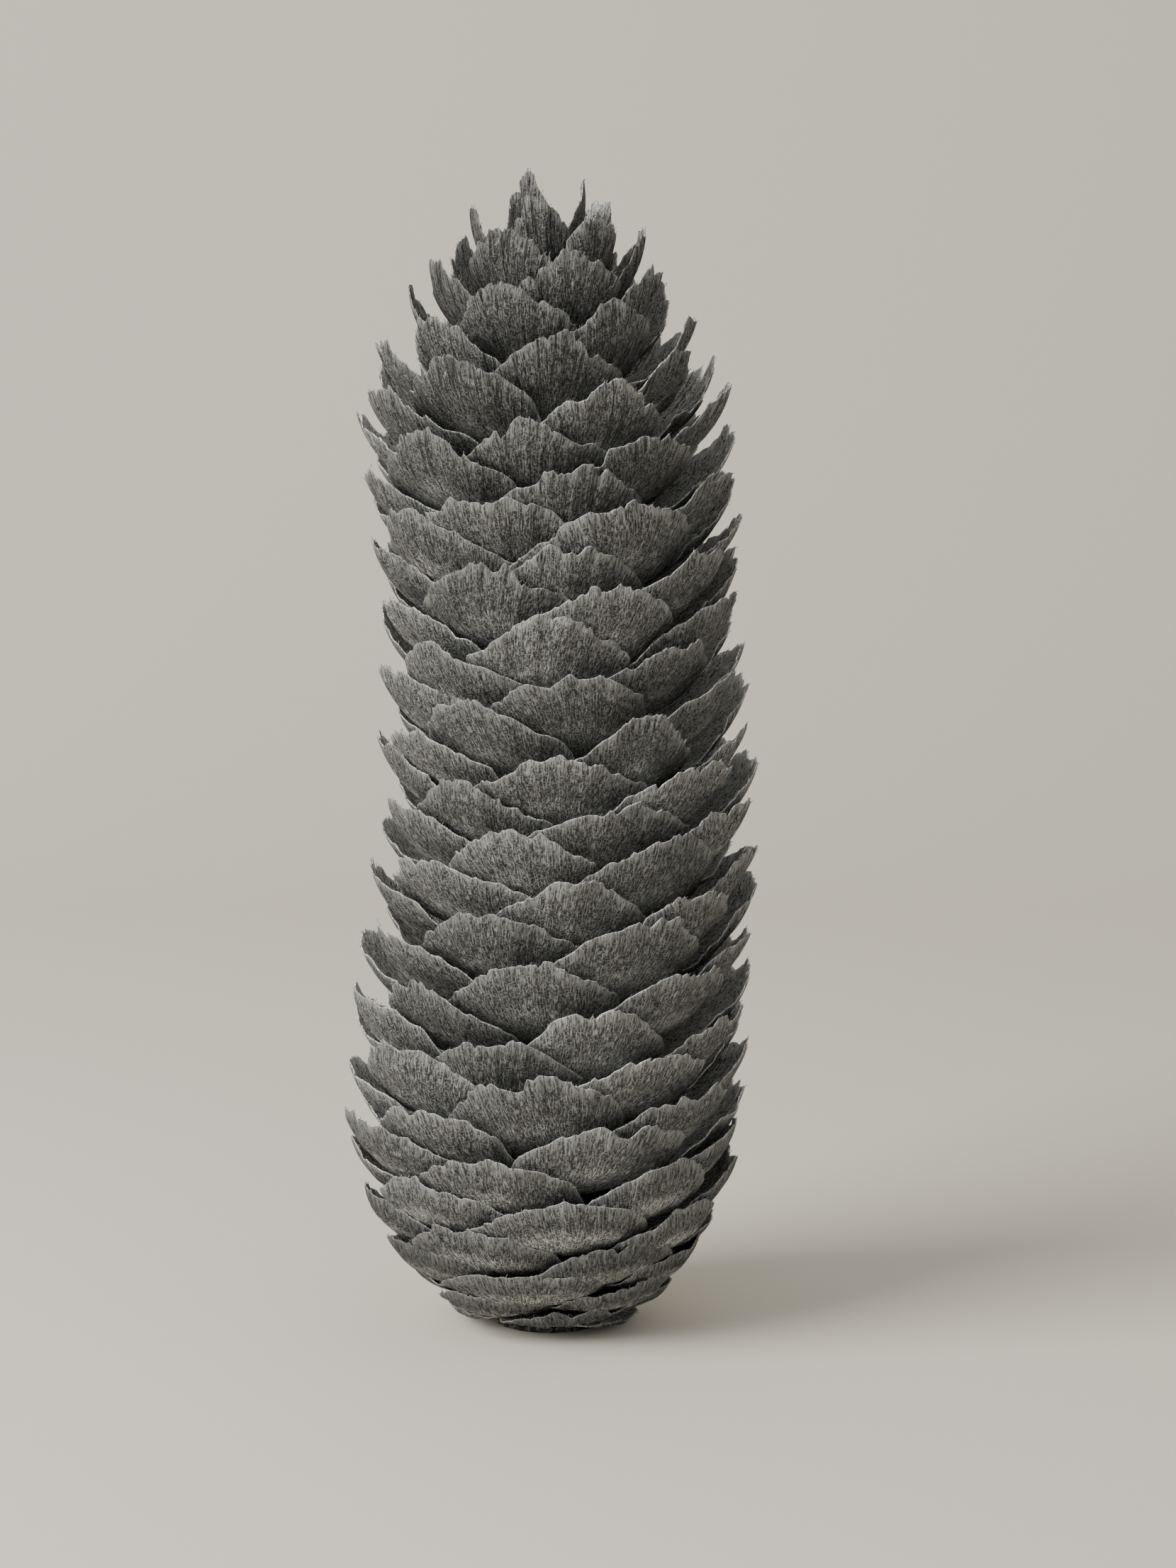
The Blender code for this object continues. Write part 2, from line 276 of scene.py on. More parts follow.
def own_seat(seat, chance):
    """The seat with the lean, the point and the extra length that this fine scale has for itself."""
    height = seat["height"]
    free = min(ramp(height, *FREE_OVER_BASE), ramp(height, *FREE_UNDER_TIP))
    own = {
        "lean": seat["lean"] + free * chance.uniform(-LEAN_EXTRA, LEAN_EXTRA),
        "pointed": seat["pointed"] + free * chance.uniform(-POINT_PLAY, POINT_PLAY),
        "longer": at_height(STRETCH, height) + free * chance.uniform(*STRETCH_PLAY),
    }
    return {**seat, **own}

# %% [markdown]
# Weather and animals gnaw and split the margin. A noise texture would give even waves, so jagged lines with
# corners at chance places are used: one of wide splits, one of small nibbles.

# %% The gnawed and split margin
SPLIT_DEPTH = (
    (0.0, 0.0006), (0.030, 0.0012), (0.095, 0.0015), (0.118, 0.0020), (0.130, 0.0019), (0.140, 0.0010),
)
SPLIT_SPACING = ((0.0, 0.0021), (0.105, 0.0021), (0.125, 0.0013), (0.140, 0.0011))
NIBBLE_DEPTH = ((0.0, 0.00030), (0.018, 0.00040), (0.036, 0.00070), (0.140, 0.00070))
NIBBLE_SPACING = 0.00050
SHALLOWNESS = 1.6
FRONT_GNAWING, GNAWING_FADE, SIDE_GNAWING = 1.35, 1.5, 0.15


def ragged(chance, run, spacing, depth):
    """A jagged line of depths along a margin of that run, with corners about a spacing apart."""
    count = int(run[-1] / spacing) + 2
    corners = np.sort(chance.uniform(0.0, run[-1], count))
    return np.interp(run, corners, chance.uniform(0.0, 1.0, count) ** SHALLOWNESS * depth)


def short_of_outline(seat, rays, run, chance):
    """How far each ray stops short of the smooth outline."""
    height = seat["height"]
    teeth = np.interp(rays, MARGIN_RAYS, seat["teeth"])
    front = np.clip(FRONT_GNAWING - GNAWING_FADE * np.abs(rays), SIDE_GNAWING, 1.0)
    splits = ragged(chance, run, at_height(SPLIT_SPACING, height), at_height(SPLIT_DEPTH, height))
    nibbles = ragged(chance, run, NIBBLE_SPACING, at_height(NIBBLE_DEPTH, height))
    return teeth + front * (splits + nibbles)

# %% [markdown]
# As a scale dries, its fibres stand out as ribs, its sheet waves, and its end curls a little inwards. Sums
# of sine waves along the margin give ribs that run with the rays. As real faces they catch the light at the
# outline too, which a bump map can't do.

# %% Ribs, waves and the curl of the end
RIBS = ((250.0, 0.000070), (450.0, 0.000050), (740.0, 0.000030))
WAVES = ((75.0, 0.00028), (170.0, 0.00014))
PACE_PLAY = (0.8, 1.25)
RIB_RUN, CURL_RUN = (0.1, 0.6), (0.68, 1.0)
WAVE_POWER = 4
HOOK = (
    (0.0, 0.0), (0.006, 0.0001), (0.020, 0.0005), (0.045, 0.0006), (0.110, 0.0005), (0.125, 0.0002),
    (0.140, 0.0),
)
HOOK_PLAY = (0.5, 1.3)
HOOK_SPREAD = ((0.0, 0.8), (0.020, 0.8), (0.036, 0.5), (0.060, 0.4), (0.140, 0.4))


def rippled(chance, run, tones):
    """A sum of sine waves along a run, each (waves a metre, height), with chance phases."""
    total = np.zeros_like(run)
    for waves, size in tones:
        phase = chance.uniform(0.0, 2 * math.pi)
        pace = waves * chance.uniform(*PACE_PLAY)
        total += size * np.sin(2 * math.pi * pace * run + phase)
    return total


def inset_of(seat, rays, run, share, chance):
    """How far inwards the points of the grid lie: the curl of the end, less the ribs and the waves."""
    ribs = rippled(chance, run, RIBS) * ramp(share, *RIB_RUN)
    waves = rippled(chance, run, WAVES) * share**WAVE_POWER
    hook = at_height(HOOK, seat["height"]) * chance.uniform(*HOOK_PLAY)
    spread = at_height(HOOK_SPREAD, seat["height"])
    curl = hook * ramp(share, *CURL_RUN) ** 2 * np.exp(-((rays / spread) ** 2))
    return curl - ribs - waves

# %% [markdown]
# On the cone each scale hugs the ones above it, cupped as a spoon is. A Simple Deform modifier bends in one
# way only, and a scale bends in two at once. So the flat grid is laid along the centreline and wrapped
# sideways by numbers.

# %% Bend the flat scale round the cone
CUP = ((0.0, 1.0), (0.018, 0.95), (0.034, 0.68), (0.110, 0.62), (0.122, 0.72), (0.132, 1.0), (0.140, 1.0))
CUP_RUN = (0.35, 0.85)
SMILE = ((0.0, 0.0008), (0.006, 0.0022), (0.014, 0.0026), (0.030, 0.0008), (0.050, 0.0), (0.140, 0.0))
TIGHTEST_WRAP = 0.75
MIDDLE_SHARE = 0.60
LOWEST = 0.00015


def middle_at(seat, share):
    """Where a scale's centreline runs (radius, height), and which way, at shares of its length."""
    line = seat["line"]
    place = np.clip(share, 0.0, 1.0) * (LINE_POINTS - 1)
    step = np.minimum(place.astype(int), LINE_POINTS - 2)
    leg = line[step + 1] - line[step]
    tangent = leg / np.linalg.norm(leg, axis=-1, keepdims=True)
    beyond = np.maximum(share - 1.0, 0.0) * seat["length"]
    return line[step] + (place - step)[..., None] * leg + beyond[..., None] * tangent, tangent


def bend(seat, side, along, inset):
    """Where points of the flat scale stand, with its middle at azimuth 0 and its seat's height at 0."""
    share = along / seat["length"]
    swing = share * math.sin(seat["lean"])
    side, share = side - along * swing, share + side * swing / seat["length"]
    centre, tangent = middle_at(seat, share)
    radius, height = centre[..., 0], centre[..., 1]
    cup = 1 + (at_height(CUP, seat["height"]) - 1) * ramp(share, *CUP_RUN)
    wrap = np.maximum(radius * cup, TIGHTEST_WRAP * seat["half_width"])
    turn = side / wrap
    tilt = np.minimum(1.0, share / MIDDLE_SHARE)
    height = height + (seat["rise"] * turn + at_height(SMILE, seat["height"]) * turn**2) * tilt
    outwards = radius - wrap + (wrap - inset * tangent[..., 1]) * np.cos(turn)
    sideways = (wrap - inset * tangent[..., 1]) * np.sin(turn)
    height = np.maximum(height + inset * tangent[..., 0], LOWEST + np.maximum(inset, 0.0))
    azimuth = seat["turn_play"] + np.arctan2(sideways, outwards)
    reach = np.hypot(outwards, sideways)
    return np.stack((reach * np.cos(azimuth), reach * np.sin(azimuth), height - seat["height"]), axis=-1)

# %% [markdown]
# A real scale is thick at its root and thin at its margin. A Solidify modifier gives one thickness, so an
# outer and an inner sheet are computed instead. The UV map is in centimetres, across the fan and back from
# the margin, so that the finish can follow the fibres.

# %% The two sheets of each scale
ROOT_HALF_WIDTH = 0.0014
ROOT_THICKNESS, MARGIN_THICKNESS = 0.00062, 0.00014
TEETH_RUN, THINNING_RUN = (0.5, 1.0), (0.3, 1.0)
# Painted shade: scales are coloured darker at the base and a little darker towards the crown, as the cone's
# shade; the play below is each scale's own tone.
PAINTED_SHADE_BY_HEIGHT = (
    (0.0, 0.65), (0.014, 0.76), (0.030, 1.25), (0.060, 1.14), (0.105, 1.13), (0.122, 1.08), (0.140, 1.05),
)
BRIGHTNESS_PLAY = (0.80, 1.22)
SEED_STEP = 1000
CENTIMETRES = 100.0


def fine_sheets(seat, index):
    """The outer and inner sheets of a scale as grids of points, the UV of the grid, and its tone, with
    painted shade by height in it.
    """
    chance = np.random.default_rng(SEED * SEED_STEP + index)
    seat = own_seat(seat, chance)
    rays = ray_places()
    rays = rays + seat["notch_shift"] * (1 - np.abs(rays))
    side, along = smooth_outline(seat, rays)
    along = along * (1 + seat["longer"] / seat["length"])
    run = np.concatenate(([0.0], np.cumsum(np.hypot(np.diff(side), np.diff(along)))))
    reach = np.hypot(side, along)
    share = np.array(ROWS)[:, None]
    kept = share - ramp(share, *TEETH_RUN) ** 2 * (short_of_outline(seat, rays, run, chance) / reach)
    root_side = np.clip(side / seat["half_width"], -1.0, 1.0) * ROOT_HALF_WIDTH
    grid_side, grid_along = root_side * (1 - kept) + side * kept, along * kept
    inset = inset_of(seat, rays, run, share, chance)
    thickness = ROOT_THICKNESS + (MARGIN_THICKNESS - ROOT_THICKNESS) * ramp(share, *THINNING_RUN)
    outer, inner = (bend(seat, grid_side, grid_along, inset + half * thickness) for half in (-0.5, 0.5))
    across = (run - run[RAYS // 2]) * np.ones_like(share)
    grain = np.stack((across, (1 - share) * reach), axis=-1) * CENTIMETRES
    return outer, inner, grain, at_height(PAINTED_SHADE_BY_HEIGHT, seat["height"]) * chance.uniform(*BRIGHTNESS_PLAY)


SHEETS = [fine_sheets(seat, index) for index, seat in enumerate(SEATS)]
print("the palest tone is", round(float(max(tone for *_, tone in SHEETS)), 2))

# %% [markdown]
# The two sheets and the strips between their edges make one closed shell. Three numbers go with its points
# for the finish to read: a tone that sets it off from the next scale, with painted shade by height in it, how
# many centimetres of it show, and whether a point is on the inner face.

# %% The faces of a closed scale
def scale_faces():
    """The faces of a closed scale: round both sheets, and along its two side edges."""
    rows = len(ROWS)
    order = np.arange(2 * rows * RAYS).reshape(2 * rows, RAYS)
    following = np.roll(order, -1, axis=0)
    around = np.stack((order[:, :-1], order[:, 1:], following[:, 1:], following[:, :-1]), axis=-1)
    outer, inner = order[:rows], order[::-1][:rows]
    left = np.stack((outer[:-1, 0], outer[1:, 0], inner[1:, 0], inner[:-1, 0]), axis=-1)
    right = np.stack((outer[:-1, -1], inner[:-1, -1], inner[1:, -1], outer[1:, -1]), axis=-1)
    return np.concatenate((around.reshape(-1, 4), left, right))

# %% Make each fine scale
SHOWN = (
    (0.0, 0.0028), (0.015, 0.0042), (0.035, 0.0080), (0.110, 0.0085), (0.125, 0.0110), (0.140, 0.0150),
)


def add_number(mesh, name, values):
    """Gives the points of a mesh a named number each."""
    mesh.attributes.new(name, "FLOAT", "POINT").data.foreach_set("value", np.array(values, np.float32))


def shade_smooth(mesh):
    """Lets the light run smoothly over the faces of a mesh."""
    mesh.polygons.foreach_set("use_smooth", np.ones(len(mesh.polygons), bool))


def fine_scale(index, faces):
    """One scale as a closed mesh, its root at the axis and its middle at azimuth 0."""
    outer, inner, grain, tone = SHEETS[index]
    points = np.concatenate((outer, inner[::-1])).reshape(-1, 3)
    uv = np.concatenate((grain, grain[::-1])).reshape(-1, 2)
    mesh = bpy.data.meshes.new(f"scale_{index:03d}")
    mesh.from_pydata(points, [], faces.tolist())
    layer = mesh.uv_layers.new(name="grain")
    layer.data.foreach_set("uv", uv[faces.reshape(-1)].reshape(-1).astype(np.float32))
    add_number(mesh, "tone", np.full(len(points), tone))
    add_number(mesh, "shown", np.full(len(points), at_height(SHOWN, SEATS[index]["height"]) * CENTIMETRES))
    add_number(mesh, "inner", np.repeat((0.0, 1.0), len(points) // 2))
    shade_smooth(mesh)
    return mesh


SCALE_FACES = scale_faces()
SCALE_MESHES = [fine_scale(index, SCALE_FACES) for index in range(SCALE_COUNT)]
print("one scale has", len(SCALE_FACES), "faces")

# %% [markdown]
# The finishes come next, because a Geometry Nodes tree sets the material as its last step. Nodes can be
# placed by hand in the editor. Here short helpers place them, so that a finish reads as a list.

# %% Helpers for nodes
def fill(tree, node, label, value):
    """Sets or links one input of a node. The label is the input's name or its number."""
    socket = node.inputs[label]
    if isinstance(value, bpy.types.NodeSocket):
        tree.links.new(value, socket)
    else:
        socket.default_value = value


def put(tree, kind, settings=(), **links):
    """Adds a node. Settings are its own options; links are its inputs, by name, as values or as sockets."""
    node = tree.nodes.new(kind)
    for option, value in dict(settings).items():
        setattr(node, option, value)
    for label, value in links.items():
        fill(tree, node, label.replace("_", " "), value)
    return node


def numbered(tree, kind, settings, *values):
    """Adds a node whose inputs are filled in their order."""
    node = put(tree, kind, settings)
    for place, value in enumerate(values):
        fill(tree, node, place, value)
    return node.outputs[0]


def number(tree, operation, *values):
    """A Math node's result."""
    return numbered(tree, "ShaderNodeMath", {"operation": operation}, *values)


def vector(tree, operation, *values):
    """A Vector Math node's result."""
    return numbered(tree, "ShaderNodeVectorMath", {"operation": operation}, *values)

# %% Helpers for colours, textures and trees
def blend_colours(tree, share, low, high):
    """A colour between two, by a share from 0 to 1."""
    node = put(tree, "ShaderNodeMix", {"data_type": "RGBA"})
    for label, value in ((0, share), (6, low), (7, high)):
        fill(tree, node, label, value)
    return node.outputs[2]


def between(tree, value, low, high, at_low=0.0, at_high=1.0):
    """A value turned from the range low to high into a smooth 0 to 1, or other ends."""
    node = put(tree, "ShaderNodeMapRange", {"interpolation_type": "SMOOTHSTEP"}, Value=value)
    for label, entry in (("From Min", low), ("From Max", high), ("To Min", at_low), ("To Max", at_high)):
        fill(tree, node, label, entry)
    return node.outputs[0]


def noise(tree, place, scale, detail, roughness=0.5):
    """A Noise Texture's value."""
    node = put(tree, "ShaderNodeTexNoise", Vector=place, Scale=scale, Detail=detail, Roughness=roughness)
    return node.outputs[0]


def new_tree(name, tree_kind, inputs, outputs):
    """A node tree with named inputs (name, kind, value) and outputs (name, kind)."""
    tree = bpy.data.node_groups.new(name, tree_kind + "NodeTree")
    for label, kind, value in inputs:
        socket = tree.interface.new_socket(label, in_out="INPUT", socket_type="NodeSocket" + kind)
        if value is not None:
            socket.default_value = value
    for label, kind in outputs:
        tree.interface.new_socket(label, in_out="OUTPUT", socket_type="NodeSocket" + kind)
    return tree, tree.nodes.new("NodeGroupInput").outputs, tree.nodes.new("NodeGroupOutput")

# %% [markdown]
# Several finishes use the same effects, so each effect is a node group with named inputs. The first is the
# wood's own fibres. A picture of wood would repeat, but noise that is squeezed across the fibres and drawn
# out along them never does. Each noise has its stretch, scale, detail and roughness, and each mask its
# noise and the ends of its range.

# %% The effect of fibres
FIBRE_NOISES = {
    "broad": ((1.0, 1.0, 1.0), 1.0, 3.0, 0.6),
    "thin": ((1.0, 1.0, 1.0), 2.6, 3.0, 0.7),
    "dashes": ((1.9, 4.8, 1.0), 1.0, 1.0, 0.5),
    "dabs": ((1.25, 2.8, 1.0), 1.0, 1.0, 0.5),
    "lines": ((0.75, 0.55, 1.0), 1.0, 2.0, 0.45),
}
FIBRE_MASKS = {
    "Streak": ("broad", 0.36, 0.64),
    "Fine": ("thin", 0.34, 0.66),
    "Flecks": ("dashes", 0.52, 0.62),
    "Pits": ("dashes", 0.37, 0.49, 1.0, 0.0),
    "Strokes": ("dabs", 0.40, 0.58),
    "Grooves": ("lines", 0.35, 0.42, 1.0, 0.0),
}


def make_fibres():
    """Masks of marks that run along the fibres, by how dense they are across and along."""
    inputs = [("Grain", "Vector", None), ("Across", "Float", 30.0), ("Along", "Float", 1.5)]
    outputs = [(mask, "Float") for mask in FIBRE_MASKS]
    group, given, result = new_tree("wood fibres", "Shader", inputs, outputs)
    squeeze = put(group, "ShaderNodeCombineXYZ", X=given["Across"], Y=given["Along"], Z=1.0).outputs[0]
    drawn = vector(group, "MULTIPLY", given["Grain"], squeeze)
    noises = {
        name: noise(group, vector(group, "MULTIPLY", drawn, stretch), *kind)
        for name, (stretch, *kind) in FIBRE_NOISES.items()
    }
    for mask, (name, *ends) in FIBRE_MASKS.items():
        fill(group, result, mask, between(group, noises[name], *ends))
    return group


FIBRES = make_fibres()
print("the fibres give", list(FIBRE_MASKS))

# %% [markdown]
# The second effect is wear, strongest at the margin and ending at a ragged line behind it; where it makes the
# margin pale, that is partly a painted highlight. The third is weathering: soft clouds of dust and small
# specks of lichen. They could follow the fibres as well, but they lie on the cone as a whole, so they are
# made in its own space.

# %% The effects of wear, with its painted highlight, and of weather
NARROWEST_SHARE = 0.35
CLOUD_ENDS, SPECK_ENDS = (0.33, 0.67), (0.50, 0.60)


def make_worn_and_highlit_margin():
    """A mask that is 1 at the margin and fades at a ragged width behind it."""
    inputs = [("Back", "Float", 0.0), ("Width", "Float", 0.1), ("Ragged", "Float", 0.5)]
    group, given, result = new_tree("worn margin", "Shader", inputs, [("Mask", "Float")])
    width = number(group, "MULTIPLY", given["Width"], number(group, "ADD", given["Ragged"], NARROWEST_SHARE))
    share = number(group, "DIVIDE", given["Back"], width)
    fill(group, result, "Mask", between(group, share, 0.0, 1.0, 1.0, 0.0))
    return group


def make_weathering():
    """Two sizes of mottling in the object's own space."""
    inputs = [("Place", "Vector", None), ("Cloud", "Float", 90.0), ("Speck", "Float", 4300.0)]
    outputs = [("Clouds", "Float"), ("Specks", "Float")]
    group, given, result = new_tree("weathering", "Shader", inputs, outputs)
    clouds = noise(group, given["Place"], given["Cloud"], 4.0)
    specks = noise(group, given["Place"], given["Speck"], 0.0)
    fill(group, result, "Clouds", between(group, clouds, *CLOUD_ENDS))
    fill(group, result, "Specks", between(group, specks, *SPECK_ENDS))
    return group


WORN_AND_HIGHLIT_MARGIN, WEATHERING = make_worn_and_highlit_margin(), make_weathering()
print("more effects:", [group.name for group in (WORN_AND_HIGHLIT_MARGIN, WEATHERING)])

# %% [markdown]
# Dry cone wood is a matt grey with short pale and dark marks, pale margins that are partly wear and partly a
# painted highlight, and deep grooves in the crown, painted deep grey as the shade in them. What is hidden or
# on an inner face is paler, partly because weather darkens only what is in the open and partly as painted
# fill light that lifts the shade in the recesses. The scales are also painted darker at the base and a little
# towards the crown, as shade. A painted picture would fit one cone, but effects fit any scale at any size.

# %% The greys, and a plain finish to start from
DEEP_GREY = (0.016, 0.015, 0.014, 1.0)
DARK_GREY = (0.040, 0.040, 0.038, 1.0)
MID_GREY = (0.068, 0.069, 0.066, 1.0)
PALE_GREY = (0.376, 0.379, 0.367, 1.0)
DRY_ROUGHNESS = 0.80
LOW_SHEEN = 0.25


def new_finish(name):
    """A material with its Principled shader and nothing else, and the node tree."""
    finish = bpy.data.materials.new(name)
    finish.use_nodes = True
    shader = finish.node_tree.nodes["Principled BSDF"]
    shader.inputs["Roughness"].default_value = DRY_ROUGHNESS
    shader.inputs["Specular IOR Level"].default_value = LOW_SHEEN
    return finish, finish.node_tree, shader


def use_group(tree, group, **links):
    """The named outputs of a node group that is placed in a material."""
    node = put(tree, "ShaderNodeGroup", {"node_tree": group}, **links)
    return {socket.name: socket for socket in node.outputs}


def own_place(tree):
    """The place on an object, in its own space."""
    return tree.nodes.new("ShaderNodeTexCoord").outputs["Object"]


def own_number(tree, name):
    """A number that the mesh carries by name."""
    return put(tree, "ShaderNodeAttribute", {"attribute_name": name}).outputs["Fac"]

# %% Marks on the scales
MARKS = (
    ("Strokes", PALE_GREY, 0.14), ("Flecks", PALE_GREY, 0.86), ("Pits", DEEP_GREY, 0.56),
    ("Clouds", DARK_GREY, 0.20), ("Specks", PALE_GREY, 0.44),
)
RELIEF = (
    ("Streak", 0.6), ("Fine", 0.6), ("Flecks", 0.9), ("Specks", 0.6), ("Margin strokes", 0.9),
    ("Grooves with painted shade", -1.5),
)


def marked(tree, masks):
    """Streaked wood with the marks painted over it one by one."""
    colour = blend_colours(tree, masks["Streak"], DARK_GREY, MID_GREY)
    for mask, grey, share in MARKS:
        colour = blend_colours(tree, number(tree, "MULTIPLY", masks[mask], share), colour, grey)
    return colour


def relief(tree, masks):
    """The height of the surface: the marks as low relief."""
    height = 0.0
    for mask, share in RELIEF:
        height = number(tree, "MULTIPLY_ADD", masks[mask], share, height)
    return height

# %% Margins with wear and a painted highlight, and hidden wood with painted fill light
MARGIN_WIDTH = 0.27
MARGIN_STROKES, MARGIN_GROUND = 0.88, 0.14
RIM_ENDS = (0.008, 0.044)
RIM_FIBRES, RIM_GROUND = 0.50, 0.28
# Painted fill light: the hidden part of each scale and its inner face are made paler, partly as their cleaner
# wood and partly to lift the shade in the recesses.
HIDDEN_ENDS, HIDDEN_GAIN_WITH_PAINTED_FILL = (0.68, 1.15), 1.5
INNER_GAIN_WITH_PAINTED_FILL = (0.112, 0.130, 3.6, 1.2)


def worn_and_highlit_parts(tree, back, masks):
    """The mask of the margin with its wear, and how pale the wood is there and at its thin, broken rim: wear
    and a painted highlight.
    """
    margin = use_group(tree, WORN_AND_HIGHLIT_MARGIN, Back=back, Width=MARGIN_WIDTH, Ragged=masks["Streak"])["Mask"]
    struck = number(tree, "MULTIPLY_ADD", masks["Strokes"], MARGIN_STROKES, MARGIN_GROUND)
    frayed = number(tree, "MULTIPLY_ADD", masks["Fine"], RIM_FIBRES, RIM_GROUND)
    rim = number(tree, "MULTIPLY", between(tree, back, *RIM_ENDS, 1.0, 0.0), frayed)
    return margin, number(tree, "MAXIMUM", number(tree, "MULTIPLY", margin, struck), rim)


def tone_and_painted_light(tree, back, high):
    """What the colour is multiplied by: the scale's tone with its painted shade by height, and more for its
    hidden part and inner face, partly paler wood and partly painted fill light.
    """
    hidden = between(tree, number(tree, "DIVIDE", back, own_number(tree, "shown")), *HIDDEN_ENDS)
    inside = number(tree, "MULTIPLY", own_number(tree, "inner"), between(tree, high, *INNER_GAIN_WITH_PAINTED_FILL))
    # Painted fill light: hidden parts and inner faces are lifted past their paler wood to brighten the shade
    # in the recesses.
    sheltered_with_painted_fill = number(tree, "MAXIMUM", number(tree, "MULTIPLY", hidden, HIDDEN_GAIN_WITH_PAINTED_FILL), inside)
    return number(tree, "MULTIPLY", own_number(tree, "tone"), number(tree, "ADD", sheltered_with_painted_fill, 1.0))

# %% The finish of the scales
GRAIN_DENSITY = {"Across": 26.0, "Along": 1.6}
GRAIN_SHIFT = (97.0, 31.0, 0.0)
GROOVE_ZONE = (0.080, 0.122, 0.25, 0.70)
ROUGHNESS_ENDS = (0.90, 0.68)
RELIEF_DEPTH = 0.00020


def make_scale_finish():
    """Grey, fibrous wood with margins pale from wear and a painted highlight, crown grooves painted dark as
    shade, and paler hidden parts and inner faces, partly painted fill light.
    """
    finish, tree, shader = new_finish("scale_wood")
    place = own_place(tree)
    high = put(tree, "ShaderNodeSeparateXYZ", Vector=place).outputs["Z"]
    grain = put(tree, "ShaderNodeUVMap", {"uv_map": "grain"}).outputs[0]
    back = put(tree, "ShaderNodeSeparateXYZ", Vector=grain).outputs["Y"]
    shifted = vector(tree, "MULTIPLY_ADD", own_number(tree, "tone"), GRAIN_SHIFT, grain)
    masks = use_group(tree, FIBRES, Grain=shifted, **GRAIN_DENSITY) | use_group(tree, WEATHERING, Place=place)
    margin, worn_and_highlit = worn_and_highlit_parts(tree, back, masks)
    masks["Margin strokes"] = number(tree, "MULTIPLY", masks["Strokes"], margin)
    masks["Grooves with painted shade"] = number(tree, "MULTIPLY", masks["Grooves"], between(tree, high, *GROOVE_ZONE))
    # Painted highlight: the margin and its rim are made pale, partly as wear and partly as the light they
    # catch.
    colour = blend_colours(tree, worn_and_highlit, marked(tree, masks), PALE_GREY)
    # Painted shade: the crown's grooves are coloured deep grey, as the shade that falls in them.
    colour = blend_colours(tree, masks["Grooves with painted shade"], colour, DEEP_GREY)
    tinted = put(tree, "ShaderNodeVectorMath", {"operation": "SCALE"}, Scale=tone_and_painted_light(tree, back, high))
    fill(tree, tinted, 0, colour)
    fill(tree, shader, "Base Color", tinted.outputs[0])
    fill(tree, shader, "Roughness", between(tree, masks["Streak"], 0.0, 1.0, *ROUGHNESS_ENDS))
    bump = put(tree, "ShaderNodeBump", Strength=1.0, Distance=RELIEF_DEPTH, Height=relief(tree, masks))
    fill(tree, shader, "Normal", bump.outputs[0])
    return finish


SCALE_FINISH = make_scale_finish()
print("the finish of the scales has", len(SCALE_FINISH.node_tree.nodes), "nodes")

# %% [markdown]
# The scales stand on the spiral by a Geometry Nodes tree. It makes a point for each scale, turns and raises
# it by its number, puts the scale with that number there, and makes real faces of the copies. Python could
# place them too, but here another count, angle or height needs only other input values.

# %% End a Geometry Nodes tree
GEOMETRY_OUT = [("Geometry", "Geometry")]


def end_tree(tree, result, copies, finish):
    """Makes real faces of a tree's copies, sets their material and gives them out."""
    real = put(tree, "GeometryNodeRealizeInstances", Geometry=copies)
    finished = put(tree, "GeometryNodeSetMaterial", Geometry=real.outputs[0], Material=finish)
    fill(tree, result, "Geometry", finished.outputs[0])

# %% The inputs of growth, and the bow as nodes
GROWTH = {
    "First azimuth": FIRST_AZIMUTH, "Golden angle": GOLDEN_ANGLE, "First height": FIRST_TIP_HEIGHT,
    "Rise": RISE, "Bow": BOW, "Cone height": CONE_HEIGHT,
}


def bow_nodes(tree, height, given):
    """The bow of the axis at a height, as nodes."""
    along = number(tree, "MULTIPLY", number(tree, "DIVIDE", height, given["Cone height"]), math.pi)
    swing = number(tree, "COSINE", number(tree, "MULTIPLY", along, 2.0))
    sway = number(tree, "MULTIPLY", number(tree, "SINE", along), swing)
    return number(tree, "MULTIPLY", sway, number(tree, "MULTIPLY", given["Bow"], -1.0))

# %% The tree that stands the scales on their spiral
def make_spiral_tree():
    """Points on the growth spiral, each with the scale of its number."""
    tree, given, result = new_tree("spiral of scales", "Geometry", [
        ("Scales", "Collection", None), ("First", "Int", 0), ("Count", "Int", SCALE_COUNT),
        *((name, "Float", value) for name, value in GROWTH.items()), ("Finish", "Material", None),
    ], GEOMETRY_OUT)
    index = tree.nodes.new("GeometryNodeInputIndex").outputs[0]
    place = number(tree, "ADD", index, given["First"])
    height = number(tree, "MULTIPLY_ADD", place, given["Rise"], given["First height"])
    turned = number(tree, "MULTIPLY", place, given["Golden angle"])
    azimuth = number(tree, "SUBTRACT", given["First azimuth"], turned)
    stand = put(tree, "ShaderNodeCombineXYZ", X=bow_nodes(tree, height, given), Z=height)
    euler = put(tree, "ShaderNodeCombineXYZ", Z=azimuth)
    rotation = put(tree, "FunctionNodeEulerToRotation", Euler=euler.outputs[0])
    points = put(tree, "GeometryNodePoints", Count=given["Count"], Position=stand.outputs[0])
    scales = put(tree, "GeometryNodeCollectionInfo", Collection=given["Scales"], Separate_Children=True)
    fill(tree, scales, "Reset Children", True)
    copies = put(tree, "GeometryNodeInstanceOnPoints", Points=points.outputs[0], Instance=scales.outputs[0])
    fill(tree, copies, "Pick Instance", True)
    fill(tree, copies, "Instance Index", place)
    fill(tree, copies, "Rotation", rotation.outputs[0])
    end_tree(tree, result, copies.outputs[0], given["Finish"])
    return tree


SPIRAL_TREE = make_spiral_tree()
print("the spiral tree has", len(SPIRAL_TREE.nodes), "nodes")

